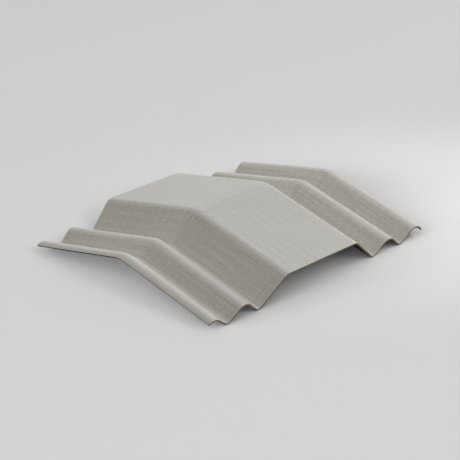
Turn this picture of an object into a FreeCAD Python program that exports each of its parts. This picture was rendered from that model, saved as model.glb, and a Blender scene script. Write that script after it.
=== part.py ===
import FreeCAD, Part
import math
import os
from collections import namedtuple

import Sketcher

# A roof ridge cap: one moulded sheet of fibre cement that covers the ridge of a roof laid with
# corrugated sheets. Across its width, along X, the section runs from an underlapping lip through
# a small wave, a wide trapezoid and another small wave to an overlapping lip. The sheet is bent
# over the ridge line, which also runs along X, and its two wings slope down towards -Y and +Y.
# It stands on the valleys at the wing ends, and the origin lies under the middle of its width.

NODE = "ridge_cap"

# Driving dimensions, in millimetres and degrees. Radii are those of the upper surface.
DIMENSIONS = {
    "module_width": 1000,        # useful width of one cap, from lap to lap: seven wave pitches
    "wave_height": 52,           # underside of a valley to the top of a small crest
    "crest_radius": 39,
    "valley_radius": 14,
    "trapezoid_height": 103.5,   # underside of a valley to the top of the trapezoid
    "trapezoid_flat": 315,       # flat part of the trapezoid's top
    "trapezoid_radius": 40,
    "underlap_run": 67.2,        # outer left valley to the middle of the underlapping crest
    "underlap_drop": 7.5,        # how far the underlapping crest lies below the other crests
    "underlap_turn": 37,         # angle of the underlapping crest's arc beyond its top
    "overlap_straight": 19.8,    # straight part of the overlapping lip, down its slope
    "sheet_thickness": 6,
    "wing_length": 426,          # valley underside, from the peak of the ridge to the wing's end
    "wing_slope": 12.5,
    "bend_radius": 50,           # bend of the ridge at the underside of the valleys
}

# Derived sizes of the section, as expressions of the driving dimensions.
# Heights are measured from the axis of the ridge bend.
PITCH = "dimensions.module_width / 7"
THICKNESS = "dimensions.sheet_thickness"
CREST_RADIUS = "dimensions.crest_radius"
VALLEY_RADIUS = "dimensions.valley_radius"
SHOULDER_RADIUS = "dimensions.trapezoid_radius"
VALLEY_CENTRE = f"dimensions.bend_radius + {THICKNESS} + {VALLEY_RADIUS}"
CREST_CENTRE = f"dimensions.bend_radius + dimensions.wave_height - {CREST_RADIUS}"
SHOULDER_CENTRE = f"dimensions.bend_radius + dimensions.trapezoid_height - {SHOULDER_RADIUS}"
SHOULDER_REACH = "dimensions.trapezoid_flat / 2"
UNDERLAP_REACH = f"3 * {PITCH} + dimensions.underlap_run"
UNDERLAP_CENTRE = f"{CREST_CENTRE} - dimensions.underlap_drop"
OVERLAP_REACH = f"3.5 * {PITCH}"

# Slope of a small wave's flank, tangent to its crest and its valley
FLANK_RUN = f"({PITCH} / 2)"
FLANK_RISE = f"({VALLEY_CENTRE} - ({CREST_CENTRE}))"
FLANK_SLOPE = (
    f"(asin(({CREST_RADIUS} + {VALLEY_RADIUS}) / hypot({FLANK_RUN}; {FLANK_RISE}))"
    f" - atan2({FLANK_RISE}; {FLANK_RUN}))"
)

# Outer edges of the two lips, measured from the middle of the trapezoid
LEFT_EDGE = f"({UNDERLAP_REACH} + {CREST_RADIUS} * sin(dimensions.underlap_turn))"
RIGHT_EDGE = (
    f"({OVERLAP_REACH} + {CREST_RADIUS} * sin({FLANK_SLOPE})"
    f" + dimensions.overlap_straight * cos({FLANK_SLOPE}))"
)

# Place of the bend axis, so that the cap is centred on its width and stands on its wing ends
AXIS_SHIFT = f"({LEFT_EDGE} - {RIGHT_EDGE}) / 2"
AXIS_HEIGHT = (
    "dimensions.wing_length * sin(dimensions.wing_slope)"
    " - dimensions.bend_radius / cos(dimensions.wing_slope)"
)
WING_STRAIGHT = "dimensions.wing_length - dimensions.bend_radius * tan(dimensions.wing_slope)"

# The rounded folds of the section from left to right. A fold's side is -1 left of the middle of
# the trapezoid and 1 right of it, and its turn is 1 where it bulges up and -1 where it sags.
Fold = namedtuple("Fold", "name side reach height radius turn")
FOLDS = [
    Fold("underlap_crest", -1, UNDERLAP_REACH, UNDERLAP_CENTRE, CREST_RADIUS, 1),
    Fold("left_outer_valley", -1, f"3 * {PITCH}", VALLEY_CENTRE, VALLEY_RADIUS, -1),
    Fold("left_crest", -1, f"2.5 * {PITCH}", CREST_CENTRE, CREST_RADIUS, 1),
    Fold("left_inner_valley", -1, f"2 * {PITCH}", VALLEY_CENTRE, VALLEY_RADIUS, -1),
    Fold("left_shoulder", -1, SHOULDER_REACH, SHOULDER_CENTRE, SHOULDER_RADIUS, 1),
    Fold("right_shoulder", 1, SHOULDER_REACH, SHOULDER_CENTRE, SHOULDER_RADIUS, 1),
    Fold("right_inner_valley", 1, f"2 * {PITCH}", VALLEY_CENTRE, VALLEY_RADIUS, -1),
    Fold("right_crest", 1, f"2.5 * {PITCH}", CREST_CENTRE, CREST_RADIUS, 1),
    Fold("right_outer_valley", 1, f"3 * {PITCH}", VALLEY_CENTRE, VALLEY_RADIUS, -1),
    Fold("overlap_crest", 1, OVERLAP_REACH, CREST_CENTRE, CREST_RADIUS, 1),
]

# Numbers of the points of sketch geometry
START, END, CENTRE = range(1, 4)
ORIGIN = (-1, START)


def write_dimensions(doc):
    """Put the driving dimensions into a sheet, one named cell each."""
    sheet = doc.addObject("Spreadsheet::Sheet", "dimensions")
    for row, (name, size) in enumerate(DIMENSIONS.items(), start=1):
        sheet.set(f"A{row}", name)
        sheet.set(f"B{row}", str(size))
        sheet.setAlias(f"B{row}", name)
    doc.recompute()


def origin_plane(body, role):
    """Return one of the body's own origin planes."""
    return next(plane for plane in body.Origin.OriginFeatures if plane.Role == role)


def number(sketch, expression):
    """Work out an expression of the driving dimensions."""
    return FreeCAD.Units.Quantity(sketch.evalExpression(expression)).Value


def fold_centre(sketch, fold):
    """Return the centre of a fold's arcs in the sketch."""
    return FreeCAD.Vector(fold.side * number(sketch, fold.reach), number(sketch, fold.height), 0)


def slope_between(sketch, left, right):
    """Return the downward slope, in radians, of the flat stretch tangent to two folds."""
    step = fold_centre(sketch, right) - fold_centre(sketch, left)
    drop = left.turn * number(sketch, left.radius) - right.turn * number(sketch, right.radius)
    return math.asin(drop / step.Length) - math.atan2(step.y, step.x)


class SectionSketch:
    """Draws the closed outline of the sheet, fully constrained, on a sketch."""

    def __init__(self, sketch):
        self.sketch = sketch
        first_slope = -math.radians(number(sketch, "dimensions.underlap_turn"))
        flat_slopes = [slope_between(sketch, *pair) for pair in zip(FOLDS, FOLDS[1:])]
        last_slope = math.radians(number(sketch, FLANK_SLOPE))
        self.slopes = [first_slope, *flat_slopes, last_slope]

    def constrain(self, *terms):
        """Add a constraint that has no size."""
        self.sketch.addConstraint(Sketcher.Constraint(*terms))

    def drive(self, name, expression, *terms, unit=1.0):
        """Add a named constraint whose size follows the driving dimensions."""
        size = number(self.sketch, expression) * unit
        index = self.sketch.addConstraint(Sketcher.Constraint(*terms, size))
        self.sketch.renameConstraint(index, name)
        self.sketch.setExpression(f"Constraints.{name}", expression)

    def line(self, start, end):
        """Draw a straight edge."""
        return self.sketch.addGeometry(Part.LineSegment(start, end))

    def arc(self, fold, depth, slope_in, slope_out):
        """Draw a fold's arc at a depth below the upper surface, with its left and right ends."""
        radius = fold.turn * number(self.sketch, fold.radius) - depth
        circle = Part.Circle(fold_centre(self.sketch, fold), FreeCAD.Vector(0, 0, 1), abs(radius))
        if fold.turn > 0:
            edge = Part.ArcOfCircle(circle, math.pi / 2 - slope_out, math.pi / 2 - slope_in)
            ends = (END, START)
        else:
            edge = Part.ArcOfCircle(circle, 1.5 * math.pi - slope_in, 1.5 * math.pi - slope_out)
            ends = (START, END)
        index = self.sketch.addGeometry(edge)
        return (index, ends[0]), (index, ends[1])

    def surface(self, depth):
        """Draw the arcs and flats of one face of the sheet. Return the arcs' ends and the flats."""
        arcs = []
        for fold, slope_in, slope_out in zip(FOLDS, self.slopes, self.slopes[1:]):
            arcs.append(self.arc(fold, depth, slope_in, slope_out))
        flats = []
        for (_, left), (right, _) in zip(arcs, arcs[1:]):
            flat = self.line(self.sketch.getPoint(*left), self.sketch.getPoint(*right))
            self.constrain("Tangent", flat, START, *left)
            self.constrain("Tangent", flat, END, *right)
            flats.append(flat)
        return arcs, flats

    def place_folds(self, top_arcs, under_arcs):
        """Fix each fold's centre and the radii of its two arcs."""
        for fold, (top_left, _), (under_left, _) in zip(FOLDS, top_arcs, under_arcs):
            top = top_left[0]
            under = under_left[0]
            centre = (top, CENTRE)
            across = (centre, ORIGIN) if fold.side < 0 else (ORIGIN, centre)
            sign = "-" if fold.turn > 0 else "+"
            self.drive(f"{fold.name}_reach", fold.reach, "DistanceX", *across[0], *across[1])
            self.drive(f"{fold.name}_height", fold.height, "DistanceY", *ORIGIN, *centre)
            self.drive(f"{fold.name}_radius", fold.radius, "Radius", top)
            self.constrain("Coincident", under, CENTRE, *centre)
            under_radius = f"{fold.radius} {sign} {THICKNESS}"
            self.drive(f"{fold.name}_under_radius", under_radius, "Radius", under)

    def underlap_end(self, top_arcs, under_arcs):
        """Cut the underlapping lip square to the sheet, at its angle past the crest's top."""
        top = top_arcs[0][0]
        under = under_arcs[0][0]
        cut = self.line(self.sketch.getPoint(*under), self.sketch.getPoint(*top))
        self.constrain("Coincident", cut, START, *under)
        self.constrain("Coincident", cut, END, *top)
        turn = "(90 + dimensions.underlap_turn) * 1 deg"
        self.drive("underlap_turn", turn, "Angle", cut, unit=math.radians(1))

    def overlap_end(self, top_arcs, under_arcs, parallel_flat):
        """Draw the straight overlapping lip and cut it square to the sheet."""
        slope = self.slopes[-1]
        length = number(self.sketch, "dimensions.overlap_straight")
        run = FreeCAD.Vector(math.cos(slope), -math.sin(slope), 0) * length
        lips = []
        for arcs in (top_arcs, under_arcs):
            crest_end = arcs[-1][1]
            start = self.sketch.getPoint(*crest_end)
            lip = self.line(start, start + run)
            self.constrain("Tangent", lip, START, *crest_end)
            self.constrain("Parallel", lip, parallel_flat)
            lips.append(lip)
        top, under = lips
        self.drive("overlap_straight", "dimensions.overlap_straight", "Distance", top)
        cut = self.line(self.sketch.getPoint(top, END), self.sketch.getPoint(under, END))
        self.constrain("Coincident", cut, START, top, END)
        self.constrain("Coincident", cut, END, under, END)
        self.constrain("Perpendicular", cut, top)

    def draw(self):
        """Draw both faces of the sheet and the cuts of its two lips."""
        thickness = number(self.sketch, THICKNESS)
        top_arcs, top_flats = self.surface(0)
        under_arcs, _ = self.surface(thickness)
        self.place_folds(top_arcs, under_arcs)
        self.underlap_end(top_arcs, under_arcs)
        right_crest = [fold.name for fold in FOLDS].index("right_crest")
        self.overlap_end(top_arcs, under_arcs, top_flats[right_crest])


def facing_face(shape, direction):
    """Return the name of the flat face that looks most nearly in a direction."""
    flat_faces = [
        (face.normalAt(0, 0).dot(direction), f"Face{index}")
        for index, face in enumerate(shape.Faces, start=1)
        if isinstance(face.Surface, Part.Plane)
    ]
    return max(flat_faces)[1]


def build_ridge_cap(doc):
    """Bend the section over the ridge and run it out into the two wings."""
    body = doc.addObject("PartDesign::Body", NODE)
    body.Label = NODE

    section = body.newObject("Sketcher::SketchObject", "section")
    section.AttachmentSupport = [(origin_plane(body, "XZ_Plane"), "")]
    section.MapMode = "FlatFace"
    section.setExpression("AttachmentOffset.Base.x", AXIS_SHIFT)
    section.setExpression("AttachmentOffset.Base.y", AXIS_HEIGHT)
    SectionSketch(section).draw()
    doc.recompute()

    ridge_bend = body.newObject("PartDesign::Revolution", "ridge_bend")
    ridge_bend.Profile = section
    ridge_bend.ReferenceAxis = (section, ["H_Axis"])
    ridge_bend.Midplane = True
    ridge_bend.setExpression("Angle", "2 * dimensions.wing_slope")
    doc.recompute()

    near_wing = body.newObject("PartDesign::Pad", "near_wing")
    near_wing.Profile = (ridge_bend, [facing_face(ridge_bend.Shape, FreeCAD.Vector(0, -1, 0))])
    near_wing.setExpression("Length", WING_STRAIGHT)
    doc.recompute()

    far_wing = body.newObject("PartDesign::Mirrored", "far_wing")
    far_wing.Originals = [near_wing]
    far_wing.MirrorPlane = (origin_plane(body, "XZ_Plane"), [""])
    body.Tip = far_wing
    doc.recompute()
    return body


def check(doc, body):
    """Stop if an object failed, or the cap isn't one sound solid."""
    for item in doc.Objects:
        if "Invalid" in item.State or "Error" in item.State:
            raise RuntimeError(f"{item.Name} could not be built: {item.State}")
    if body.Shape.isNull() or not body.Shape.isValid() or len(body.Shape.Solids) != 1:
        raise RuntimeError(f"{body.Label} is not one sound solid")


document = FreeCAD.newDocument("ridge_cap_model")
write_dimensions(document)
ridge_cap = build_ridge_cap(document)
check(document, ridge_cap)
os.makedirs("parts", exist_ok=True)
ridge_cap.Shape.exportStep(f"parts/{ridge_cap.Label}.step")
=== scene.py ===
import math

import bmesh
import bpy
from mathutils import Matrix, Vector


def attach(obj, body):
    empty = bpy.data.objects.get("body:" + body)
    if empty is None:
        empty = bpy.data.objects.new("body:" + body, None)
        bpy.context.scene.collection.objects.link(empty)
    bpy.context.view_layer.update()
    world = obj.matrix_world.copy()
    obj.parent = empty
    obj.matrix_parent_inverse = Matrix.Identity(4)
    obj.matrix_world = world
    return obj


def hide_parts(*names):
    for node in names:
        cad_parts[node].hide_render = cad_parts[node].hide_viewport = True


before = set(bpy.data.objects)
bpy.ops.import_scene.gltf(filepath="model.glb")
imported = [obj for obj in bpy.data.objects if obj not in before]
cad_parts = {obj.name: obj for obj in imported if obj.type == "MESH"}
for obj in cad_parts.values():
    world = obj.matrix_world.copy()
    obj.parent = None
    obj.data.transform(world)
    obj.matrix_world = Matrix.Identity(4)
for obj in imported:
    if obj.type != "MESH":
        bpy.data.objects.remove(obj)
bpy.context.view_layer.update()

NODE = "ridge_cap"

# Sizes of the sheet in metres, the same as in the part's own source. Radii are the upper face's.
MODULE_WIDTH = 1.0
PITCH = MODULE_WIDTH / 7
WAVE_HEIGHT = 0.052
CREST_RADIUS = 0.039
VALLEY_RADIUS = 0.014
TRAPEZOID_HEIGHT = 0.1035
TRAPEZOID_FLAT = 0.315
TRAPEZOID_RADIUS = 0.040
UNDERLAP_RUN = 0.0672
UNDERLAP_DROP = 0.0075
UNDERLAP_TURN = math.radians(37)
OVERLAP_STRAIGHT = 0.0198
THICKNESS = 0.006
WING_LENGTH = 0.426
WING_SLOPE = math.radians(12.5)
BEND_RADIUS = 0.050

# How finely the mesh follows the sheet, and how its edges are rounded
ARC_STEP = math.radians(4)
BEND_STEP = math.radians(2.5)
FLAT_STEP = 0.025
SEAM_STEP = 0.0006
STEP_TOLERANCE = 1e-9
EDGE_ROUNDING = 0.0003
EDGE_SEGMENTS = 2
EDGE_ANGLE = math.radians(50)

# The sheet's materials, in the order of its slots
FACE, CUT_END, CUT_SIDE = range(3)


def fold_list():
    """The rounded folds from left to right: x, height over the bend axis, signed radius."""
    crest = BEND_RADIUS + WAVE_HEIGHT - CREST_RADIUS
    valley = BEND_RADIUS + THICKNESS + VALLEY_RADIUS
    shoulder = BEND_RADIUS + TRAPEZOID_HEIGHT - TRAPEZOID_RADIUS
    right = [
        (TRAPEZOID_FLAT / 2, shoulder, TRAPEZOID_RADIUS),
        (2 * PITCH, valley, -VALLEY_RADIUS),
        (2.5 * PITCH, crest, CREST_RADIUS),
        (3 * PITCH, valley, -VALLEY_RADIUS),
    ]
    left = [(-x, z, radius) for x, z, radius in reversed(right)]
    underlap = (-3 * PITCH - UNDERLAP_RUN, crest - UNDERLAP_DROP, CREST_RADIUS)
    overlap = (3.5 * PITCH, crest, CREST_RADIUS)
    return [underlap, *left, *right, overlap]


def slope_between(left, right):
    """Downward slope of the flat stretch that touches two folds."""
    run = right[0] - left[0]
    rise = right[1] - left[1]
    return math.asin((left[2] - right[2]) / math.hypot(run, rise)) - math.atan2(rise, run)


def spread(start, end, step):
    """Evenly spaced values from start to end, both included, at most a step apart."""
    count = max(1, math.ceil(abs(end - start) / step - STEP_TOLERANCE))
    return [start + (end - start) * k / count for k in range(count + 1)]


def after_fold(length):
    """Places along a flat that leaves a fold. A narrow strip at the fold keeps the shading flat."""
    return [SEAM_STEP, *spread(2 * SEAM_STEP, length, FLAT_STEP)]


def between_folds(length):
    """Places along a flat between two folds, with such a strip at each of them."""
    return [*after_fold(length - 2 * SEAM_STEP), length - SEAM_STEP]


def run_on(sample, distances):
    """Points straight on from a point of the section, at these distances from it."""
    x, z, slope = sample
    return [(x + d * math.cos(slope), z - d * math.sin(slope), slope) for d in distances]


def section_samples():
    """Points of the upper face across the sheet: x, height over the bend axis, slope.

    The overlap ends on the slope of the wave beside it.
    """
    folds = fold_list()
    flats = [slope_between(*pair) for pair in zip(folds, folds[1:])]
    overlap_slope = slope_between(folds[-3], folds[-2])
    slopes = [-UNDERLAP_TURN, *flats, overlap_slope]
    samples = []
    for (x, z, radius), slope_in, slope_out in zip(folds, slopes, slopes[1:]):
        arc = [
            (x + radius * math.sin(slope), z + radius * math.cos(slope), slope)
            for slope in spread(slope_in, slope_out, ARC_STEP)
        ]
        if samples:
            length = math.hypot(arc[0][0] - samples[-1][0], arc[0][1] - samples[-1][1])
            samples += run_on(samples[-1], between_folds(length))
        samples += arc
    return samples + run_on(samples[-1], after_fold(OVERLAP_STRAIGHT))


def wing_stations():
    """Places along the sheet from the near end to the far end: bend angle, distance out on a wing."""
    out = after_fold(WING_LENGTH - BEND_RADIUS * math.tan(WING_SLOPE))
    near = [(-WING_SLOPE, d) for d in reversed(out)]
    bend = [(angle, 0.0) for angle in spread(-WING_SLOPE, WING_SLOPE, BEND_STEP)]
    far = [(WING_SLOPE, d) for d in out]
    return near + bend + far


def bent_point(x, radius, angle, out):
    """Point at a radius from the bend axis, bent over the ridge and run out along a wing."""
    side = math.copysign(1, angle)
    y = radius * math.sin(angle) + side * out * math.cos(angle)
    z = radius * math.cos(angle) - side * out * math.sin(angle)
    return Vector((x, y, z))


def sheet_corners(mesh, samples, stations):
    """Mesh corners of the upper face and of the underside, in rows across the sheet."""
    middle = (samples[0][0] + samples[-1][0]) / 2
    axis_height = WING_LENGTH * math.sin(WING_SLOPE) - BEND_RADIUS / math.cos(WING_SLOPE)
    shift = Vector((-middle, 0, axis_height))
    sides = []
    for depth in (0.0, THICKNESS):
        rows = []
        for angle, out in stations:
            row = []
            for x, radius, slope in samples:
                deep_x = x - depth * math.sin(slope)
                deep_radius = radius - depth * math.cos(slope)
                row.append(mesh.verts.new(bent_point(deep_x, deep_radius, angle, out) + shift))
            rows.append(row)
        sides.append(rows)
    return sides


def flat_places(samples, stations):
    """Distances across and along the sheet laid flat, from its middle."""
    across = [0.0]
    for (x0, z0, _), (x1, z1, _) in zip(samples, samples[1:]):
        across.append(across[-1] + math.hypot(x1 - x0, z1 - z0))
    half_width = across[-1] / 2
    mean_radius = BEND_RADIUS + TRAPEZOID_HEIGHT / 2
    along = [angle * mean_radius + math.copysign(out, angle) for angle, out in stations]
    return [distance - half_width for distance in across], along


def sheet_mesh():
    """The sheet as one closed mesh, and half its flat size. The UV is the place on the flat sheet."""
    samples = section_samples()
    stations = wing_stations()
    across, along = flat_places(samples, stations)
    last_i, last_j = len(samples) - 1, len(stations) - 1
    mesh = bmesh.new()
    uv = mesh.loops.layers.uv.new("sheet")
    top, under = sheet_corners(mesh, samples, stations)

    def quad(corners, places, material, flip=False):
        if flip:
            corners, places = corners[::-1], places[::-1]
        face = mesh.faces.new(corners)
        face.smooth = True
        face.material_index = material
        for loop, coordinate in zip(face.loops, places):
            loop[uv].uv = coordinate

    for j in range(last_j):
        for i in range(last_i):
            places = [
                (across[i], along[j]), (across[i + 1], along[j]),
                (across[i + 1], along[j + 1]), (across[i], along[j + 1]),
            ]
            quad([top[j][i], top[j][i + 1], top[j + 1][i + 1], top[j + 1][i]], places, FACE)
            quad([under[j][i], under[j + 1][i], under[j + 1][i + 1], under[j][i + 1]],
                 [places[0], places[3], places[2], places[1]], FACE)
    for i in range(last_i):
        left, right = across[i], across[i + 1]
        places = [(left, 0), (right, 0), (right, THICKNESS), (left, THICKNESS)]
        for j in (0, last_j):
            corners = [under[j][i], under[j][i + 1], top[j][i + 1], top[j][i]]
            quad(corners, places, CUT_END, flip=j > 0)
    for j in range(last_j):
        near, far = along[j], along[j + 1]
        places = [(far, 0), (near, 0), (near, THICKNESS), (far, THICKNESS)]
        for i in (0, last_i):
            corners = [under[j + 1][i], under[j][i], top[j][i], top[j + 1][i]]
            quad(corners, places, CUT_SIDE, flip=i > 0)

    data = bpy.data.meshes.new("ridge_cap_sheet")
    mesh.to_mesh(data)
    mesh.free()
    return data, (across[-1], along[-1])


# Colours of the fibre cement. The upright part of a normal tells a flat, at 1, from a flank, at
# FLANK_UPRIGHT or less. The flank colour is the sheet's grey made warmer: the warmth is a painted
# tint of shade on the faces that turn from the light. The underside starts at UNDERSIDE_UPRIGHT and
# is full at as much below zero; its darker colour is painted shade under the sheet. The near black of
# the long cut sides is painted shade too.
FLAT_COLOUR = (0.532, 0.514, 0.480)
FLANK_COLOUR = (0.537, 0.513, 0.460)
PAINTED_UNDERSIDE_SHADE = (0.20, 0.192, 0.176)
END_COLOUR = (0.33, 0.26, 0.165)
PAINTED_CUT_SIDE_SHADE = (0.025, 0.025, 0.024)
FLANK_UPRIGHT = 0.80
UNDERSIDE_UPRIGHT = 0.2

# The print of the felt that the wet sheet lay on: the size of one repeat and of its slow change in
# metres, and how many threads and knots one repeat holds
FELT_REPEAT = 0.036
FELT_DRIFT = 0.25
LONG_THREADS = 12
KNOTS_FINE = 20
KNOTS_COARSE = 8

# Sizes of the marks that don't repeat, in metres
STRAY_WIDTH = 0.0016
STRAY_LENGTH = 0.010
GRAIN_SIZE = 0.0040
MOTTLE_SIZE = 0.050
CLOUD_SIZE = 0.30
WEAR_WIDTH = 0.006
WEAR_RAGGED = 0.012

# How strongly each layer of the print changes the tone, and how high it stands
FELT_PRINT = {
    "warp": (0.60, 0.6),
    "weft": (0.55, 0.6),
    "warp_knots": (0.46, 1.0),
    "weft_knots": (0.52, 1.0),
    "stray_warp": (0.14, 0.5),
    "stray_weft": (0.36, 0.5),
    "grain": (0.36, 0.2),
}
PRINT_ON_FLATS = 0.6
PRINT_DEPTH = 0.0006
TONE_CHANGE = 0.05
ROUGHNESS = 0.9
ROUGHNESS_CHANGE = 0.1
SPECULAR = 0.05

# The same for the marks on a cut face, with their sizes along and through the cut in metres
CUT_LAYERS = (0.020, 0.0012)
CUT_FIBRES = (0.0025, 0.0020)
CUT_STAINS = (0.060, 0.030)
CUT_MARKS = {
    "layers": (0.35, 1.0),
    "fibres": (0.35, 0.7),
    "stains": (0.30, 0.0),
}
CUT_DEPTH = 0.0004
CUT_ROUGHNESS = 0.95

# Colour sockets of a Mix node, by number because its other kinds have sockets of the same names
MIX_A, MIX_B, MIX_RESULT = 6, 7, 2

# The middle of a noise texture's values
NOISE_MIDDLE = 0.5


class Nodes:
    """Short calls for building the node tree of a material or a world."""

    def __init__(self, owner):
        self.owner = owner
        self.owner.use_nodes = True
        self.tree = owner.node_tree
        self.shader = self.tree.nodes.get("Principled BSDF")

    def add(self, kind, **values):
        """A new node with these properties."""
        node = self.tree.nodes.new(kind)
        for name, value in values.items():
            setattr(node, name, value)
        return node

    def join(self, value, socket):
        """Link a socket, or set a plain value on it."""
        if isinstance(value, bpy.types.NodeSocket):
            self.tree.links.new(value, socket)
        else:
            socket.default_value = value

    def math(self, operation, a, b=0.0):
        """Result of one operation on numbers."""
        node = self.add("ShaderNodeMath", operation=operation)
        self.join(a, node.inputs[0])
        self.join(b, node.inputs[1])
        return node.outputs[0]

    def mix(self, factor, a, b):
        """A colour between two others."""
        node = self.add("ShaderNodeMix", data_type="RGBA")
        self.join(factor, node.inputs[0])
        self.join(a, node.inputs[MIX_A])
        self.join(b, node.inputs[MIX_B])
        return node.outputs[MIX_RESULT]

    def split(self, vector):
        """The parts of a vector, under the names X, Y and Z."""
        node = self.add("ShaderNodeSeparateXYZ")
        self.join(vector, node.inputs[0])
        return node.outputs

    def ramp(self, value, low, high, to_low=0.0, to_high=1.0):
        """Smooth step of a value from one range to another."""
        node = self.add("ShaderNodeMapRange", interpolation_type="SMOOTHSTEP")
        for number, socket in zip((value, low, high, to_low, to_high), node.inputs):
            self.join(number, socket)
        return node.outputs[0]

    def total(self, *parts):
        """Sum of values, each with its own weight."""
        result = 0.0
        for value, weight in parts:
            result = self.math("ADD", self.math("MULTIPLY", value, weight), result)
        return result

    def seen(self):
        """One for what is seen straight, in a reflection or through glass, zero for other light."""
        path = self.add("ShaderNodeLightPath")
        rays = path.outputs["Is Camera Ray"]
        for name in ("Is Glossy Ray", "Is Transmission Ray"):
            rays = self.math("MAXIMUM", rays, path.outputs[name])
        return rays

    def sheet_place(self):
        """The place on the flat sheet, in metres from its middle."""
        return self.add("ShaderNodeUVMap", uv_map="sheet").outputs[0]

    def texture(self, dimensions, detail, **places):
        """Noise around zero, at a place counted in features."""
        node = self.add("ShaderNodeTexNoise", noise_dimensions=dimensions)
        for name, value in places.items():
            self.join(value, node.inputs[name])
        node.inputs["Scale"].default_value = 1.0
        node.inputs["Detail"].default_value = detail
        return self.math("SUBTRACT", node.outputs["Fac"], NOISE_MIDDLE)

    def noise(self, place, width, length, detail=2.0, offset=0.0):
        """Noise with features of one size across the sheet and another along it."""
        mapping = self.add("ShaderNodeMapping")
        self.join(place, mapping.inputs["Vector"])
        mapping.inputs["Location"].default_value = (offset, offset, offset)
        mapping.inputs["Scale"].default_value = (1 / width, 1 / length, 1)
        return self.texture("2D", detail, Vector=mapping.outputs[0])

    def felt(self, place, count_across, count_along, seed, detail=2.0):
        """Noise that repeats with the felt, with so many features in one repeat each way.

        Each way of the sheet goes round a circle of its own, so the noise has four dimensions.
        """
        spot = self.split(place)
        circles = []
        for axis, count in (("X", count_across), ("Y", count_along)):
            angle = self.math("MULTIPLY", spot[axis], math.tau / FELT_REPEAT)
            for operation in ("COSINE", "SINE"):
                circles.append(self.math("MULTIPLY", self.math(operation, angle), count / math.tau))
        drift = self.total((spot["X"], 1 / FELT_DRIFT), (spot["Y"], 1 / FELT_DRIFT))
        *first_three, last = circles
        last = self.math("ADD", last, self.math("ADD", drift, seed))
        vector = self.add("ShaderNodeCombineXYZ")
        for value, socket in zip(first_three, vector.inputs):
            self.join(value, socket)
        return self.texture("4D", detail, Vector=vector.outputs[0], W=last)

    def edge_distance(self, place, half_size):
        """Distance from a place on the sheet to the sheet's nearest edge."""
        spot = self.split(place)
        gaps = [self.math("SUBTRACT", half, self.math("ABSOLUTE", spot[axis]))
                for axis, half in zip("XY", half_size)]
        return self.math("MINIMUM", *gaps)

    def marks(self, layers, strengths):
        """The change of tone and the height that layers of marks make together."""
        tone = self.total(*[(layers[name], share) for name, (share, _) in strengths.items()])
        height = self.total(*[(layers[name], rise) for name, (_, rise) in strengths.items()])
        return tone, height

    def tint(self, colour, change):
        """A colour made lighter or darker by a change around zero."""
        node = self.add("ShaderNodeVectorMath", operation="SCALE")
        self.join(colour, node.inputs[0])
        self.join(self.math("ADD", change, 1.0), node.inputs["Scale"])
        return node.outputs[0]

    def finish(self, colour, roughness, height, depth):
        """The material, with this colour, roughness and relief."""
        bump = self.add("ShaderNodeBump")
        bump.inputs["Strength"].default_value = 1.0
        bump.inputs["Distance"].default_value = depth
        self.join(height, bump.inputs["Height"])
        self.join(bump.outputs[0], self.shader.inputs["Normal"])
        self.join(colour, self.shader.inputs["Base Color"])
        self.join(roughness, self.shader.inputs["Roughness"])
        self.shader.inputs["Specular IOR Level"].default_value = SPECULAR
        return self.owner


def fibre_cement(half_size):
    """Matte grey sheet with the felt's print of crossed threads, clouding, grain and rubbed edges."""
    nodes = Nodes(bpy.data.materials.new("fibre_cement"))
    place = nodes.sheet_place()
    layers = {
        "warp": nodes.felt(place, LONG_THREADS, 0, seed=11.3),
        "weft": nodes.felt(place, 0, LONG_THREADS, seed=27.1),
        "warp_knots": nodes.felt(place, KNOTS_FINE, KNOTS_COARSE, seed=43.9),
        "weft_knots": nodes.felt(place, KNOTS_COARSE, KNOTS_FINE, seed=61.7),
        "stray_warp": nodes.noise(place, STRAY_WIDTH, STRAY_LENGTH, offset=7.7),
        "stray_weft": nodes.noise(place, STRAY_LENGTH, STRAY_WIDTH, offset=9.3),
        "grain": nodes.noise(place, GRAIN_SIZE, GRAIN_SIZE, detail=0.0),
    }
    threads, height = nodes.marks(layers, FELT_PRINT)
    mottle = nodes.noise(place, MOTTLE_SIZE, MOTTLE_SIZE, detail=4.0, offset=1.7)
    cloud = nodes.noise(place, CLOUD_SIZE, CLOUD_SIZE, detail=3.0, offset=5.9)

    upright = nodes.split(nodes.add("ShaderNodeTexCoord").outputs["Normal"])["Z"]
    flatness = nodes.ramp(upright, FLANK_UPRIGHT, 1.0)
    underside = nodes.ramp(upright, -UNDERSIDE_UPRIGHT, UNDERSIDE_UPRIGHT, 1.0, 0.0)
    # Flanks get the warmer colour: a painted tint of shade on the faces that turn from the light.
    plain = nodes.mix(flatness, (*FLANK_COLOUR, 1), (*FLAT_COLOUR, 1))
    # The underside gets a darker colour: painted shade under the sheet.
    plain = nodes.mix(underside, plain, (*PAINTED_UNDERSIDE_SHADE, 1))

    print_shows = nodes.ramp(upright, FLANK_UPRIGHT, 1.0, 1.0, PRINT_ON_FLATS)
    ragged = nodes.total((nodes.edge_distance(place, half_size), 1.0),
                         (mottle, WEAR_RAGGED), (layers["stray_warp"], WEAR_RAGGED))
    rubbed = nodes.ramp(ragged, 0.0, WEAR_WIDTH, 1.0, 0.0)
    change = nodes.total((nodes.math("MULTIPLY", threads, print_shows), 1.0),
                         (mottle, TONE_CHANGE), (cloud, TONE_CHANGE), (rubbed, TONE_CHANGE))
    roughness = nodes.math("ADD", nodes.math("MULTIPLY", mottle, ROUGHNESS_CHANGE), ROUGHNESS)
    return nodes.finish(nodes.tint(plain, change), roughness, height, PRINT_DEPTH)


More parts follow.
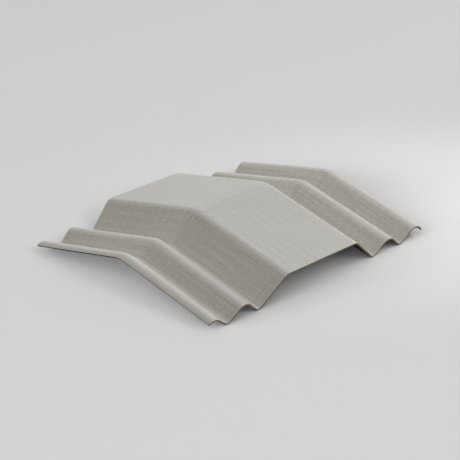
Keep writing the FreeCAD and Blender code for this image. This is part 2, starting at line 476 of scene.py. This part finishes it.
def cut_edge(name, colour):
    """Raw cut through the sheet, with its layers and fibres showing."""
    nodes = Nodes(bpy.data.materials.new(name))
    place = nodes.sheet_place()
    layers = {
        "layers": nodes.noise(place, *CUT_LAYERS),
        "fibres": nodes.noise(place, *CUT_FIBRES, detail=3.0, offset=2.3),
        "stains": nodes.noise(place, *CUT_STAINS, offset=4.1),
    }
    change, height = nodes.marks(layers, CUT_MARKS)
    return nodes.finish(nodes.tint(colour, change), CUT_ROUGHNESS, height, CUT_DEPTH)


def add_object(name, data):
    """A new object in the scene."""
    added = bpy.data.objects.new(name, data)
    bpy.context.scene.collection.objects.link(added)
    return added


def build_sheet():
    """The sheet with its edges rounded and its materials on it."""
    data, half_size = sheet_mesh()
    sheet = add_object("ridge_cap_sheet", data)
    rounding = sheet.modifiers.new("edge_rounding", "BEVEL")
    rounding.width = EDGE_ROUNDING
    rounding.segments = EDGE_SEGMENTS
    rounding.limit_method = "ANGLE"
    rounding.angle_limit = EDGE_ANGLE
    rounding.harden_normals = True
    data.materials.append(fibre_cement(half_size))
    data.materials.append(cut_edge("cut_end", END_COLOUR))
    # The long cut sides are near black: painted shade.
    data.materials.append(cut_edge("cut_side_painted_shade", PAINTED_CUT_SIDE_SHADE))
    return sheet


# The floor's colour near and far, where along Y it fades from one to the other, and its colour
# for the light that it throws back under the cap. The darkening towards the far colour is painted
# light falloff.
FLOOR_COLOUR = (0.658, 0.658, 0.658)
FLOOR_FAR_FALLOFF_COLOUR = (0.562, 0.562, 0.562)
FLOOR_FADE = (-1.65, 6.0)
FLOOR_BOUNCE = (0.05, 0.05, 0.05)
FLOOR_HALF = 30.0


def floor_material():
    """Pale floor, darker with distance by painted light falloff, that hardly lights the cap from
    below.
    """
    nodes = Nodes(bpy.data.materials.new("floor"))
    position = nodes.split(nodes.add("ShaderNodeNewGeometry").outputs["Position"])
    fade = nodes.ramp(position["Y"], *FLOOR_FADE)
    # The fade to the darker far colour is painted light falloff.
    colour = nodes.mix(fade, (*FLOOR_COLOUR, 1), (*FLOOR_FAR_FALLOFF_COLOUR, 1))
    shown = nodes.mix(nodes.seen(), (*FLOOR_BOUNCE, 1), colour)
    nodes.join(shown, nodes.shader.inputs["Base Color"])
    nodes.shader.inputs["Roughness"].default_value = 1.0
    nodes.shader.inputs["Specular IOR Level"].default_value = 0.0
    return nodes.owner


def build_floor():
    """The wide plain floor that the cap stands on."""
    data = bpy.data.meshes.new("floor")
    corners = [(-FLOOR_HALF, -FLOOR_HALF), (FLOOR_HALF, -FLOOR_HALF),
               (FLOOR_HALF, FLOOR_HALF), (-FLOOR_HALF, FLOOR_HALF)]
    data.from_pydata([(x, y, 0) for x, y in corners], [], [(0, 1, 2, 3)])
    data.materials.append(floor_material())
    floor = add_object("floor", data)
    return floor


# The photograph's camera
CAMERA_PLACE = Vector((-4.0604, -4.0275, 2.6589))
CAMERA_AZIMUTH = math.radians(-45.173)
CAMERA_ELEVATION = math.radians(24.447)
CAMERA_REACH = 200
FOCAL_PIXELS = 1797.1
FRAME_PIXELS = 460
SENSOR_WIDTH = 36.0


def turn_to(thing, forward):
    """Turn a camera or a lamp to face a direction."""
    thing.rotation_mode = "QUATERNION"
    thing.rotation_quaternion = forward.to_track_quat("-Z", "Y")


def build_camera():
    """The camera, at the photograph's place and with its angle of view."""
    data = bpy.data.cameras.new("camera")
    data.sensor_width = SENSOR_WIDTH
    data.lens = FOCAL_PIXELS * SENSOR_WIDTH / FRAME_PIXELS
    data.clip_end = CAMERA_REACH
    camera = add_object("camera", data)
    camera.location = CAMERA_PLACE
    turn_to(camera, Vector((
        -math.sin(CAMERA_AZIMUTH) * math.cos(CAMERA_ELEVATION),
        math.cos(CAMERA_AZIMUTH) * math.cos(CAMERA_ELEVATION),
        -math.sin(CAMERA_ELEVATION),
    )))
    bpy.context.scene.camera = camera


# Soft distant lamps: direction round from +X, height and width in degrees, strength, colour, and what
# they light. At strength 1 a white face that is turned to the lamp renders white.
WHITE = (1.0, 1.0, 1.0)
COOL = (0.945, 1.0, 1.06)
LAMPS = {
    "cap_right": (22, 18, 25, 0.55, COOL, "cap"),
    "cap_front": (292, 6, 25, 0.36, WHITE, "cap"),
    "cap_back": (90, 54, 25, 0.43, WHITE, "cap"),
    "floor_left": (202, 32, 60, 0.73, WHITE, "floor"),
    "floor_side": (180, 18, 25, 0.40, WHITE, "floor"),
    "floor_low": (158, 6, 25, 1.18, WHITE, "floor"),
    "floor_front": (270, 36, 25, 0.26, WHITE, "floor"),
}
FULL_SUN = math.pi

# Strength of the world as a light, and where it is seen as the backdrop
DOME_STRENGTH = 0.20
BACKDROP_STRENGTH = 0.62

# Where a lamp is turned to if it isn't told otherwise
ORIGIN = Vector((0, 0, 0))

# Two lamps at hand: one over the cap's right half, and one that makes the bright patch on the floor.
# Powers are in watts.
OVERHEAD_PLACE = Vector((0.9, -0.7, 2.2))
OVERHEAD_POWER = 47
OVERHEAD_RADIUS = 0.55
PATCH_CENTRE = Vector((0.88, -0.40, 0))
PATCH_FROM = (315, 45)
PATCH_DISTANCE = 4.0
PATCH_POWER = 680
PATCH_WIDTH = math.radians(16.5)
PATCH_SOFTNESS = 1.0
PATCH_RADIUS = 0.6


def direction(round_from_x, up):
    """Unit vector towards a place in the sky, given in degrees."""
    turn, rise = math.radians(round_from_x), math.radians(up)
    return Vector((math.cos(turn) * math.cos(rise), math.sin(turn) * math.cos(rise), math.sin(rise)))


def add_lamp(name, kind, power, target, source, aim=ORIGIN):
    """A lamp at a place, turned to another, that lights one object alone. All objects shade it."""
    data = bpy.data.lights.new(name, kind)
    data.energy = power
    lamp = add_object(name, data)
    lamp.location = source
    turn_to(lamp, aim - source)
    group = bpy.data.collections.new(name + "_lights")
    group.objects.link(target)
    lamp.light_linking.receiver_collection = group
    return lamp


def build_world():
    """Even light from all round, and a paler backdrop where the world itself is seen."""
    world = bpy.data.worlds.new("studio")
    bpy.context.scene.world = world
    nodes = Nodes(world)
    background = nodes.tree.nodes["Background"]
    background.inputs["Color"].default_value = (*WHITE, 1)
    strength = nodes.ramp(nodes.seen(), 0.0, 1.0, DOME_STRENGTH, BACKDROP_STRENGTH)
    nodes.join(strength, background.inputs["Strength"])


def build_lights(cap, floor):
    """The lamps, some for the cap and some for the floor."""
    targets = {"cap": cap, "floor": floor}
    for name, (round_from_x, up, width, strength, colour, target) in LAMPS.items():
        source = direction(round_from_x, up)
        lamp = add_lamp(name, "SUN", strength * FULL_SUN, targets[target], source)
        lamp.data.angle = math.radians(width)
        lamp.data.color = colour
    overhead = add_lamp("overhead", "POINT", OVERHEAD_POWER, cap, OVERHEAD_PLACE)
    overhead.data.shadow_soft_size = OVERHEAD_RADIUS
    patch_place = PATCH_CENTRE + PATCH_DISTANCE * direction(*PATCH_FROM)
    patch = add_lamp("patch", "SPOT", PATCH_POWER, floor, patch_place, aim=PATCH_CENTRE)
    patch.data.spot_size = PATCH_WIDTH
    patch.data.spot_blend = PATCH_SOFTNESS
    patch.data.shadow_soft_size = PATCH_RADIUS


sheet = build_sheet()
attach(sheet, "root")
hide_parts(NODE)
floor = build_floor()
build_camera()
build_world()
build_lights(sheet, floor)
bpy.context.scene.view_settings.view_transform = "Standard"
